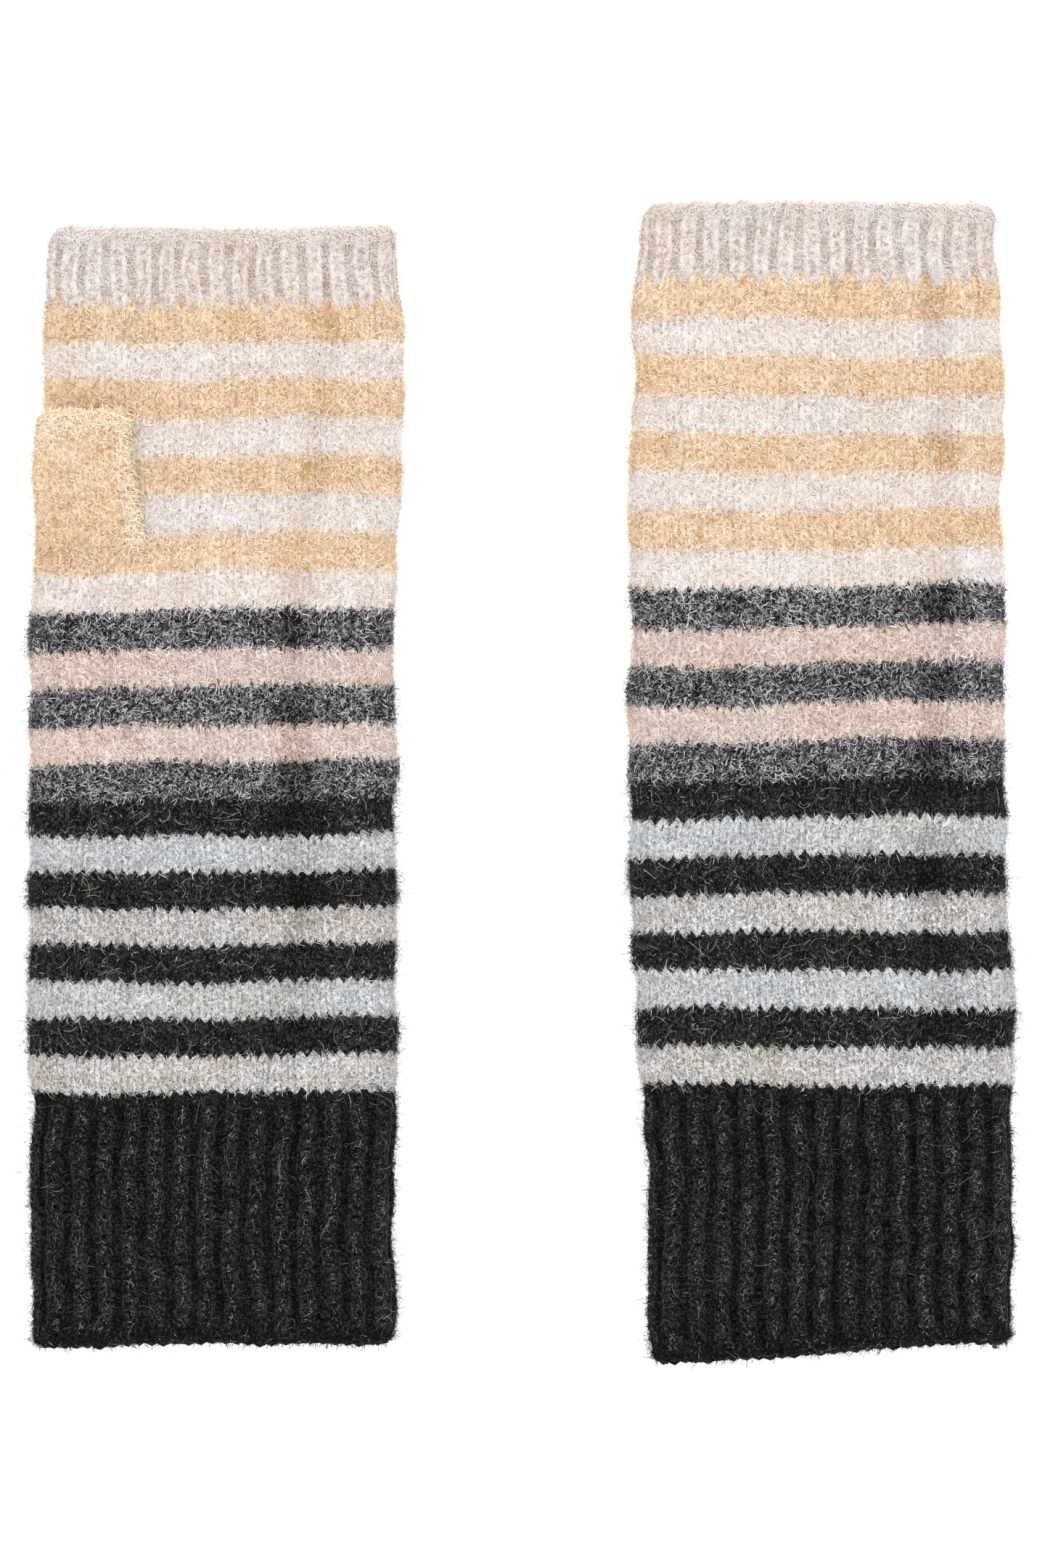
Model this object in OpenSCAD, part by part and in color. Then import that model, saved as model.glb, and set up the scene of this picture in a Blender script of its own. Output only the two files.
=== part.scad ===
// A pair of long fingerless gloves, knitted as striped tubes and laid flat side by side.
// The left glove lies palm up with its thumb tube on top of the palm.
// The right glove lies palm down with its thumb tube tucked under the palm.
// Units are millimetres. X runs across the pair, Y runs from the cuffs to the finger openings,
// Z is up, and the origin is the centre of the pair's base.

/* [Pair] */
// Distance over both gloves, from the left glove's thumb side to the right glove's outer fold
pair_w = 274; // [265:1:300]
// How far the left glove's cuff end sits above the right glove's
left_step = 5; // [0:0.5:12]

/* [Left glove] */
// Flat width of the ribbed cuff
left_cuff_w = 100.2; // [94:0.5:104]
// Flat width of the lowest stripe
left_low_w = 102.8; // [95:0.5:106]
// Flat width of the top stripe
left_top_w = 99.8; // [95:0.5:105]
// Flat width of the ribbed band at the finger opening
left_rib_w = 97.2; // [92:0.5:104]
// Length of the ribbed cuff
left_cuff_h = 69; // [55:1:90]
// Length of one stripe
left_stripe_h = 10.33; // [10:0.01:11]
// Length of the ribbed band at the finger opening
left_rib_h = 21.2; // [18:0.1:26]

/* [Right glove] */
// Flat width of the ribbed cuff
right_cuff_w = 100.6; // [94:0.5:104]
// Flat width of the lowest stripe
right_low_w = 105.6; // [95:0.5:108]
// Flat width of the top stripe
right_top_w = 102.4; // [95:0.5:106]
// Flat width of the ribbed band at the finger opening
right_rib_w = 98.6; // [92:0.5:104]
// Length of the ribbed cuff
right_cuff_h = 75.8; // [70:0.1:90]
// Length of one stripe
right_stripe_h = 10.56; // [10.4:0.01:11]
// Length of the ribbed band at the finger opening
right_rib_h = 21.4; // [18:0.1:26]

/* [Knit] */
// Thickness of the knitted fabric
wall = 2.6; // [2.2:0.1:3]
// Height of a glove that lies flat, over both layers
body_h = 11.6; // [11.4:0.1:14]
// Corner radius of the cuff, seen from above
cuff_corner = 4; // [1:0.5:8]
// Corner radius of the finger opening, seen from above
rib_corner = 8; // [2:0.5:12]

/* [Thumb] */
// Flat width of the thumb tube
thumb_w = 29.4; // [26:0.2:31]
// Length of the thumb tube
thumb_l = 43.4; // [38:0.2:46]
// Height of the thumb tube that lies flat, over both layers
thumb_h = 9.4; // [9.2:0.1:11]
// Thickness of the thumb's fabric
thumb_wall = 2.4; // [2:0.1:2.4]
// Width of the hole between palm and thumb
hole_w = 20; // [14:1:22]
// How far the thumb's side fold stands out past the glove's
thumb_overhang = 0.5; // [0:0.1:2]

/* [Which node] */
// Name of the node to draw

/* [Hidden] */
LEFT = 0;
RIGHT = 1;
SIDE_NAMES = ["left", "right"];

// One yarn colour a band, from the cuff to the finger opening
CUFF = 0;
STRIPE_COLOURS = [
    "oatmeal", "black", "light_grey", "black", "oatmeal", "black", "light_grey", "black",
    "heather_grey", "pink", "heather_grey", "pink", "heather_grey", "cream",
    "tan", "cream", "tan", "cream", "tan", "cream", "tan"
];
STRIPES = len(STRIPE_COLOURS);
FINGER_RIB = STRIPES + 1;
BANDS = [CUFF:FINGER_RIB];

WRIST_BAND = 10;  // the last stripe of the forearm; the glove folds above it
THUMB_BAND = 15;  // the stripe whose palm layer is open into the thumb
FIRST_HELD_UP = THUMB_BAND - 1;  // stripes that lie on the right glove's thumb
LAST_HELD_UP = THUMB_BAND + 4;
RAMP_BANDS = 2;  // stripes that slope down from them on either side
COURSES = 4;     // rows of stitches in a stripe

layer_gap = 0.3;   // air between the thumb tube and the palm
fold_gap = 0.3;    // air between forearm and hand at the wrist fold
seam_r = 1.1;      // radius of the linked side seam
seam_gap = 0.4;    // air between the seam and the fold that it lies in
seam_end = 3;      // how far the seam stops short of an open end
raise = thumb_h + layer_gap;  // height of the right palm where it lies on the thumb
squash = 0.15;     // share of that height that the fabric above takes up
held_w = 33;       // width that is held up, from the thumb side
ramp_w = 30;       // width over which it slopes back down
arc_steps = 10;    // straight edges in a side fold
slope_steps = 16;  // straight edges in a slope
cut = 1;           // how far a cutting solid passes the face it cuts

function cuff_w(side) = side == LEFT ? left_cuff_w : right_cuff_w;
function low_w(side) = side == LEFT ? left_low_w : right_low_w;
function top_w(side) = side == LEFT ? left_top_w : right_top_w;
function rib_w(side) = side == LEFT ? left_rib_w : right_rib_w;
function cuff_h(side) = side == LEFT ? left_cuff_h : right_cuff_h;
function stripe_h(side) = side == LEFT ? left_stripe_h : right_stripe_h;
function rib_h(side) = side == LEFT ? left_rib_h : right_rib_h;

// Where each band starts, measured from its own glove's cuff end, and how long it is
function band_start(side, i) = i == CUFF ? 0 : cuff_h(side) + (i - 1) * stripe_h(side);
function band_h(side, i) =
    i == CUFF ? cuff_h(side) : i == FINGER_RIB ? rib_h(side) : stripe_h(side);
function glove_l(side) = band_start(side, FINGER_RIB) + rib_h(side);
function cuff_y(side) =
    side == RIGHT ? -glove_l(RIGHT) / 2 : -glove_l(RIGHT) / 2 + left_step;

// How far up its glove a band's middle is, from 0 to 1
function up(side, i) = (band_start(side, i) + band_h(side, i) / 2) / glove_l(side);

// The stripes narrow towards the fingers, and the ribs at both ends draw in
function band_w(side, i) =
    i == CUFF ? cuff_w(side)
    : i == FINGER_RIB ? rib_w(side)
    : low_w(side) + (top_w(side) - low_w(side)) * (i - 1) / (STRIPES - 1);

function smooth(t) = let(c = min(1, max(0, t))) c * c * (3 - 2 * c);

// Each glove lies a little curved: its cuff and its finger end stand off to the right
CUFF_SWAY = [0, 3.6];
FINGER_SWAY = [3.2, 0];
function sway(side, t) =
    CUFF_SWAY[side] * (1 - smooth((t - 0.15) / 0.35))
    + FINGER_SWAY[side] * smooth((t - 0.65) / 0.2);
function low_x(side, i) = sway(side, up(side, i)) - band_w(side, i) / 2;
function high_x(side, i) = sway(side, up(side, i)) + band_w(side, i) / 2;

// The thumb tube's centre, from its glove's own centre line
function thumb_local_x(side) = low_x(side, THUMB_BAND) - thumb_overhang + thumb_w / 2;
left_reach = min(min([for (i = BANDS) low_x(LEFT, i)]), thumb_local_x(LEFT) - thumb_w / 2);
right_reach = max([for (i = BANDS) high_x(RIGHT, i)]);
function glove_x(side) = side == LEFT ? -pair_w / 2 - left_reach : pair_w / 2 - right_reach;
function band_x(side, i) = glove_x(side) + sway(side, up(side, i));
function band_y(side, i) = cuff_y(side) + band_start(side, i);

// How high a band's thumb side is held up. at is a place along the glove, in bands:
// 15.5 is the middle of band 15.
function held(at) =
    smooth((at - FIRST_HELD_UP) / RAMP_BANDS + 1) * smooth((LAST_HELD_UP + 1 - at) / RAMP_BANDS + 1);
function raise_at(side, at) = side == RIGHT ? raise * held(at) : 0;
function on_ramp(side, i) =
    side == RIGHT && (abs(i - FIRST_HELD_UP + RAMP_BANDS / 2 + 0.5) < RAMP_BANDS / 2
        || abs(i - LAST_HELD_UP - RAMP_BANDS / 2 - 0.5) < RAMP_BANDS / 2);
function slices(side, i) = on_ramp(side, i) ? COURSES : 1;
function lift(x, w, rise) = rise * (1 - smooth((x + w / 2 - held_w) / ramp_w));
function bottom_z(x, w, rise) = lift(x, w, rise);
function top_z(x, w, h, rise) = h + lift(x, w, rise) * (1 - squash);

// Outline of a flat tube: two layers joined by round side folds, drawn in by inset.
// rise lifts its thumb side.
function outline(w, h, rise, inset) =
    let(
        left_r = (h - rise * squash) / 2,
        right_r = h / 2,
        x0 = -w / 2 + left_r,
        x1 = w / 2 - right_r,
        n = rise > 0 ? slope_steps : 1,
        xs = [for (k = [0:n]) x0 + (x1 - x0) * k / n],
        left_z = bottom_z(x0, w, rise) + left_r
    )
    concat(
        [for (x = xs) [x, bottom_z(x, w, rise) + inset]],
        [for (k = [1:arc_steps - 1]) let(a = -90 + 180 * k / arc_steps)
            [x1 + (right_r - inset) * cos(a), right_r + (right_r - inset) * sin(a)]],
        [for (k = [n:-1:0]) [xs[k], top_z(xs[k], w, h, rise) - inset]],
        [for (k = [1:arc_steps - 1]) let(a = 90 + 180 * k / arc_steps)
            [x0 + (left_r - inset) * cos(a), left_z + (left_r - inset) * sin(a)]]
    );

module tube_section(w, h, thick, rise = 0) {
    difference() {
        polygon(outline(w, h, rise, 0));
        polygon(outline(w, h, rise, thick));
    }
}

// Extrudes a section drawn in X and Z along Y, from y0 over length l
module along_y(y0, l) {
    translate([0, y0 + l, 0])
        rotate([90, 0, 0])
            linear_extrude(height = l)
                children();
}

function band_name(side, i) =
    str(SIDE_NAMES[side],
        i == CUFF ? "_cuff_rib"
        : i == FINGER_RIB ? "_finger_rib"
        : str("_stripe_", i < 10 ? "0" : "", i, "_", STRIPE_COLOURS[i - 1]));

function yarn_colour(name) =
    name == "charcoal" ? [0.15, 0.15, 0.15]
    : name == "black" ? [0.18, 0.18, 0.18]
    : name == "light_grey" ? [0.76, 0.76, 0.76]
    : name == "oatmeal" ? [0.77, 0.76, 0.74]
    : name == "heather_grey" ? [0.42, 0.42, 0.43]
    : name == "pink" ? [0.82, 0.75, 0.71]
    : name == "cream" ? [0.91, 0.87, 0.83]
    : [0.91, 0.79, 0.65];

function band_colour(i) =
    i == CUFF ? "charcoal" : i == FINGER_RIB ? "cream" : STRIPE_COLOURS[i - 1];

// The gap for the wrist fold is taken half from the stripe below it and half from the one above
function trim_low(i) = i == WRIST_BAND + 1 ? fold_gap / 2 : 0;
function trim_high(i) = i == WRIST_BAND ? fold_gap / 2 : 0;

// A knitted ring of one yarn, lying flat. On a ramp each course is its own step.
module band(side, i) {
    w = band_w(side, i);
    y0 = band_y(side, i) + trim_low(i);
    l = band_h(side, i) - trim_low(i) - trim_high(i);
    n = slices(side, i);
    color(yarn_colour(band_colour(i)))
        translate([band_x(side, i), 0, 0])
            difference() {
                intersection() {
                    union()
                        for (k = [0:n - 1])
                            along_y(y0 + l * k / n, l / n)
                                tube_section(w, body_h, wall, raise_at(side, i + (k + 0.5) / n));
                    if (i == CUFF) end_mask(w, y0, l, cuff_corner);
                    if (i == FINGER_RIB) mirror_y(y0 + l) end_mask(w, 0, l, rib_corner);
                }
                if (i == THUMB_BAND) palm_hole(side, i);
            }
}

module mirror_y(y) {
    translate([0, y, 0])
        mirror([0, 1, 0])
            children();
}

// Rounds the two corners at the low end of a band, as seen from above
module end_mask(w, y0, l, r) {
    translate([0, y0, -cut])
        linear_extrude(height = body_h + 2 * cut)
            union() {
                translate([-w / 2, r]) square([w, l]);
                translate([-w / 2 + r, 0]) square([w - 2 * r, 2 * r]);
                for (s = [-1, 1]) translate([s * (w / 2 - r), r]) circle(r = r, $fn = 48);
            }
}

// Opens the palm layer of the thumb's stripe, in the band's own X
module palm_hole(side, i) {
    x = thumb_x(side) - band_x(side, i);
    z = side == LEFT ? body_h - wall - cut : raise - cut;
    translate([x - hole_w / 2, band_y(side, i) - cut, z])
        cube([hole_w, band_h(side, i) + 2 * cut, wall + 2 * cut]);
}

function thumb_x(side) = glove_x(side) + thumb_local_x(side);
function thumb_y(side) = band_y(side, THUMB_BAND);
function thumb_z(side) = side == LEFT ? body_h + layer_gap : 0;

// The thumb tube: open at its tip, closed at its base, with a hole that faces the palm's
module thumb(side) {
    hole_z = side == LEFT ? -cut : thumb_h - thumb_wall - cut;
    color(yarn_colour("tan"))
        translate([thumb_x(side), thumb_y(side), thumb_z(side)])
            difference() {
                along_y(0, thumb_l) polygon(outline(thumb_w, thumb_h, 0, 0));
                along_y(thumb_wall, thumb_l) polygon(outline(thumb_w, thumb_h, 0, thumb_wall));
                translate([-hole_w / 2, thumb_wall, hole_z])
                    cube([hole_w, stripe_h(side) - thumb_wall, thumb_wall + 2 * cut]);
            }
}

// The linked side seam: a ridge inside the fold on the little finger's side
module seam(side, first, last) {
    color(yarn_colour("charcoal"))
        for (i = [first:last]) {
            low = band_y(side, i) + (i == CUFF ? seam_end : trim_low(i));
            high = band_y(side, i) + band_h(side, i) - (i == FINGER_RIB ? seam_end : trim_high(i));
            translate([seam_x(side, i), high, body_h / 2])
                rotate([90, 0, 0])
                    cylinder(r = seam_r, h = high - low, $fn = 24);
        }
}
function seam_x(side, i) = glove_x(side) + high_x(side, i) - wall - seam_gap - seam_r;

function seam_name(side, part) = str(SIDE_NAMES[side], "_", part, "_side_seam");
function thumb_name(side) = str(SIDE_NAMES[side], "_thumb_tube");

for (side = [LEFT, RIGHT]) {
    for (i = BANDS) band(side, i);
    thumb(side);
    seam(side, CUFF, WRIST_BAND);
    seam(side, WRIST_BAND + 1, FINGER_RIB);
}

// Facts for the record
echo(bodies_x = [glove_x(LEFT), glove_x(RIGHT)], wrist_y = [for (s = [0, 1]) band_y(s, WRIST_BAND + 1)]);
echo(thumb_base = [for (s = [0, 1]) [thumb_x(s), thumb_y(s), thumb_z(s)]]);
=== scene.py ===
"""A pair of long striped fingerless gloves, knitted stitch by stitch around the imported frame.

Every band of the frame gets its own rows of looped yarn, a felted layer behind them and a fuzz of
loose fibres. Lengths are in millimetres until a mesh is made, and then in metres.
"""

import bpy
import numpy as np
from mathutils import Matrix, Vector


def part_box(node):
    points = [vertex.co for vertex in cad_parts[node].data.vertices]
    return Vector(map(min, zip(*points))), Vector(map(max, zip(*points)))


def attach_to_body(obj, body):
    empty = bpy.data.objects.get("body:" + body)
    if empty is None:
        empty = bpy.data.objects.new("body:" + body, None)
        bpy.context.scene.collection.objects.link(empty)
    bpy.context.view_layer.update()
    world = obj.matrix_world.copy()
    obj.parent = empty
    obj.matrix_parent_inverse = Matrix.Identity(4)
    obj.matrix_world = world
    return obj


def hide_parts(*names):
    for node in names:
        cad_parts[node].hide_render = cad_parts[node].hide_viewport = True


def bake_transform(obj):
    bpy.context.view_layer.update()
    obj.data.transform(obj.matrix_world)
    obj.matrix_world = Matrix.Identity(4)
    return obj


MM = 0.001
TURN = 2 * np.pi

# Knit
STITCHES = 60  # columns of stitches round a glove
STRIPE_ROWS = 4  # rows of stitches in a stripe
RIB_ROW_H = 2.65  # height of a row in the ribs
STEPS = 10  # points along the yarn in a stitch
SIDES = 6  # points round the yarn
YARN_WIDE = 0.92  # half of the yarn's width along the fabric
YARN_DEEP = 0.78  # half of its width through the fabric
LOOP_LEAN = 0.24  # how far a stitch's legs lean, in stitches
LOOP_REACH = 0.94  # half height of a loop, in rows
LOOP_DEPTH = 0.42  # how far the legs stand out from the loop's ends
YARN_LEVEL = -1.15  # the yarn's centre, from the outside of the fabric
BACKING = (-1.5, -2.4)  # outside and inside of the felted layer behind the yarn
FELT_LIFT = {"rib_cream": 0.6}  # how much closer it lies where the wool is felted most
RIB_DEPTH = {"charcoal": 1.3, "rib_cream": 0.45}  # how far every other column of a rib sinks in
RIB_LIGHT_AND_SHADE = {"charcoal": 0.25, "rib_cream": 0.22}  # how much painted light its standing columns get, and painted shade its furrows
RIB_SHARP = {"charcoal": 1.0, "rib_cream": 3.5}  # how thin the painted shade in the furrows between them is
RIB_PULL = {"charcoal": 0.7, "rib_cream": 0.12}  # how much the loose fibres keep to them
STRAY = {"rib_cream": 0.6, "cream": 0.9, "tan": 0.9, "pink": 0.3}  # how far they stray past a band
EDGE_MARGIN = 1.5  # from the end of a band to the stitches of its last row
RIB_SPREAD = {"charcoal": 0.2, "rib_cream": 0.06}  # how far a rib's standing columns crowd the sunk ones
RIB_YARN = {"charcoal": 1.12, "rib_cream": 1.32}  # half of the yarn's width in a rib
RIM_R = 1.15  # radius of the rolled edge round an opening

# The way a glove lies
FOLD_R = 4.6  # radius of the side folds
FOLD_SLOPE = 20  # width over which a glove thickens from its side folds
GLOVE_H = 11.2  # height of a glove's middle
MOUTH_H = 9.4  # height at its two openings
MOUTH_SLOPE = 24  # length over which it flattens towards them
FRAME_H = 11.6  # height of the frame's flat bands
HELD_WIDTH = 33  # width of the right glove that its thumb holds up
HELD_SLOPE = 30  # width over which it slopes down again
SQUASH = 0.15  # share of the thumb's height that the fabric over it gives up
WAVE = 0.45  # height of the waves in the fabric
CREASE_S = {"left": 0.39, "right": 0.348}  # where the shallow crease along the upper side runs
CREASE_LEAN = {"left": -0.00015, "right": -0.00005}  # how much further round it is, per millimetre
CREASE_WIDE = 0.024  # half of its width, as a share of the way round
CREASE_SHADE = 0.34  # how much darker the wool is painted in it, as painted shade
CREASE_DEEP = 1.5  # how far the fabric sinks in it
SWAY = 0.0014  # how far the columns of stitches wander, as a share of the way round
STRIPE_SAG = {"left": 2.3, "right": 0.3}  # how far the stripes lie towards the cuff at the wrist
STRIPE_TILT = {"left": 1.8, "right": 1.6}  # how much less they do on the right
SAG_REACH = 62  # how far from the wrist that fades
CUFF_SET = {"left": -1.2, "right": -0.6}  # how far a cuff's edge lies from the frame's
CUFF_TILT = {"left": 0.8, "right": 5.2}  # how much higher it lies on its right
PEAK = 0.9  # how far the last stripe points up into the furrows of the finger rib
LIP = 5.0  # height of the smooth edge at the finger opening
LIP_DIM = 0.3  # how much darker the line under it is drawn
LIP_FIBRES = 2500
FRINGE_FIBRES = 1800  # along a cuff's edge
SIDE_MARGIN = 0.6  # room for the loose fibres at a glove's sides
TOP_CORNER = 5.0  # radius of the corners at the finger opening
CUFF_CORNER = 2.5  # radius of the corners at the cuff

# Thumb tubes
THUMB_STITCHES = 20  # columns of stitches round a thumb
THUMB_ROWS = 17  # rows of stitches along it
THUMB_BASE_W = 31.6  # its width where it leaves the palm
THUMB_TIP_W = 25.8
THUMB_BASE_H = 2.4  # its thickness there
THUMB_H = 7.4  # its thickness further up
THUMB_FOLD_R = 2.9  # radius of its side folds
THUMB_SINK = 3.7  # from the left palm's outside down to the underside of the thumb's base
THUMB_HOLD = 4  # how far the right one's base rises into the palm over it
THUMB_START = 1.8  # how far before the frame's node it starts
THUMB_END = 0.8  # how far before that node's end it ends
THUMB_NARROW = 1.4  # how much narrower its base is drawn in on the left
THUMB_RISE = 26  # length over which a thumb rises out of the palm
THUMB_CORNER = 4.5  # radius of the corners at its tip
THUMB_FIBRES = 1500  # pale ones at its tip, and as many along its right fold, a painted highlight on both
THUMB_DROP = 0.8  # how much closer than in the frame the left one lies to the palm

# Side seams
SEAM_R = 0.5  # radius of its strands, and of their twist
SEAM_TWIST = 1.1  # how fast they turn round each other, in radians per millimetre
SEAM_INSET = 4.4  # from a glove's right side
SEAM_STEP = 0.7  # between the points along a strand

# Forearm and hand
WRIST_REACH = 15  # how far from the wrist a piece must end to hang on the forearm or the hand, to each side


def smooth(t):
    """0 below 0, 1 above 1 and an even slope between."""
    c = np.clip(t, 0, 1)
    return c * c * (3 - 2 * c)


# ---------------------------------------------------------------- the frame

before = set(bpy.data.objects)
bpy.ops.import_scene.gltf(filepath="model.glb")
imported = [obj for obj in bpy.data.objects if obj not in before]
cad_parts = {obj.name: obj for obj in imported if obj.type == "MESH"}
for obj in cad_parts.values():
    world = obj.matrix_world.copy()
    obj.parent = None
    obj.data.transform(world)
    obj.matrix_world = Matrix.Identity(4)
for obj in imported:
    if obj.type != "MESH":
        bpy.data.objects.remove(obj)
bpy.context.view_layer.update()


def node_box(name):
    """A frame node's lowest and highest corner, in millimetres."""
    low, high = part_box(name)
    return np.array(low) / MM, np.array(high) / MM


class Span:
    """A stretch along Y with no ribs."""

    is_rib, wool = False, None

    def __init__(self, y0, y1):
        self.y0, self.y1 = y0, y1


class Band:
    """One colour band of a glove, as the frame gives it."""

    def __init__(self, node, wool):
        low, high = node_box(node)
        self.node = node
        self.wool = wool
        self.y0, self.y1 = low[1], high[1]
        self.left, self.right = low[0], high[0]
        self.top = high[2]
        self.is_rib = wool in ("charcoal", "rib_cream")

    @property
    def length(self):
        return self.y1 - self.y0

    @property
    def rows(self):
        return round(self.length / RIB_ROW_H) if self.is_rib else STRIPE_ROWS


def bands_of(side):
    """A glove's bands from the cuff to the finger opening."""
    found = [Band(side + "_cuff_rib", "charcoal")]
    stripes = [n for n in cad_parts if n.startswith(side + "_stripe_")]
    for node in sorted(stripes):
        found.append(Band(node, node.split("_", 3)[3]))
    found.append(Band(side + "_finger_rib", "rib_cream"))
    return found


# ---------------------------------------------------------------- surfaces


class Tube:
    """A flattened tube that lies along Y. Places on it are given by s, the share of the way round
    it, y, and the height above its outside."""

    ROUND = 720  # points round a section
    STEP = 2.0  # distance between sections
    SPARE = 8  # how far past the tube's ends the sections go on
    EDGE_START = 0.12  # how far up the slope from a side fold the flat part starts

    def __init__(self, low, high):
        self.rows_y = np.arange(low - self.SPARE, high + self.SPARE + self.STEP, self.STEP)
        sections = [self.section(y) for y in self.rows_y]
        self.x = np.array([s[0] for s in sections])
        self.z = np.array([s[1] for s in sections])
        self.round_mm = np.array([s[2] for s in sections])
        dx = np.roll(self.x, -1, 1) - np.roll(self.x, 1, 1)
        dz = np.roll(self.z, -1, 1) - np.roll(self.z, 1, 1)
        size = np.hypot(dx, dz)
        self.nx, self.nz = dz / size, -dx / size

    def shape(self, y):
        """Centre, width, thickness, fold radius, rise and floor of the section at y."""
        raise NotImplementedError

    def section(self, y):
        centre, width, thick, fold, rise, floor = self.shape(y)
        flat = width / 2 - fold
        xs = np.linspace(-flat, flat, 260)
        lift = rise * (1 - smooth((xs + width / 2 - HELD_WIDTH) / HELD_SLOPE))
        edge = smooth((width / 2 - fold - np.abs(xs)) / FOLD_SLOPE + self.EDGE_START)
        deep = 2 * fold + (thick - 2 * fold - lift * SQUASH) * edge
        turn = np.linspace(-np.pi / 2, np.pi / 2, 42)[1:-1]
        low = floor + lift
        right_x = flat + fold * np.cos(turn)
        right_z = low[-1] + deep[-1] / 2 * (1 + np.sin(turn))
        left_x = -flat - fold * np.cos(turn[::-1])
        left_z = low[0] + deep[0] / 2 * (1 + np.sin(turn[::-1]))
        x = np.concatenate([xs, right_x, xs[::-1], left_x, xs[:1]])
        z = np.concatenate([low, right_z, (low + deep)[::-1], left_z, low[:1]])
        along = np.concatenate([[0], np.cumsum(np.hypot(np.diff(x), np.diff(z)))])
        # s = 0 is the middle of the underside
        start = np.interp(0, xs, along[: len(xs)])
        at = (start + np.arange(self.ROUND) / self.ROUND * along[-1]) % along[-1]
        return np.interp(at, along, x) + centre, np.interp(at, along, z), along[-1]

    def sample(self, grid, s, y):
        """Looks a grid up at places between its points."""
        row = np.clip((y - self.rows_y[0]) / self.STEP, 0, len(self.rows_y) - 1.001)
        col = (s % 1) * self.ROUND
        r0, c0 = row.astype(int), col.astype(int) % self.ROUND
        fr, fc = row - r0, col - np.floor(col)
        c1 = (c0 + 1) % self.ROUND
        low = grid[r0, c0] * (1 - fc) + grid[r0, c1] * fc
        high = grid[r0 + 1, c0] * (1 - fc) + grid[r0 + 1, c1] * fc
        return low * (1 - fr) + high * fr

    def place(self, s, y, up):
        """Points at those places, and the outward normal there."""
        s = s + SWAY * (np.sin(y / 5.3 + 9 * TURN * s) + 0.6 * np.sin(y / 2.7 - 4 * TURN * s))
        x, z = self.sample(self.x, s, y), self.sample(self.z, s, y)
        nx, nz = self.sample(self.nx, s, y), self.sample(self.nz, s, y)
        size = np.maximum(np.hypot(nx, nz), 1e-6)
        nx, nz = nx / size, nz / size
        up = up + self.wave(s, y) * np.clip((z - self.floor) / 8, 0, 1)
        points = np.stack([x + nx * up, y + self.drift(s, y), z + nz * up], -1)
        return points, np.stack([nx, np.zeros_like(nx), nz], -1)

    def wave(self, s, y):
        """How far the fabric is out of its even shape."""
        return np.zeros_like(y)

    def drift(self, s, y):
        """How far it is shifted along the tube."""
        return np.zeros_like(y)

    def tone(self, band, s, y):
        """How much lighter a band's wool is painted there, as painted light and shade."""
        return np.zeros_like(y)

    def relief(self, band, s, y):
        """How far a band's ribs stand out, and how ribbed it is there, from -1 to 1."""
        return np.zeros_like(y), np.zeros_like(y)


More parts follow.
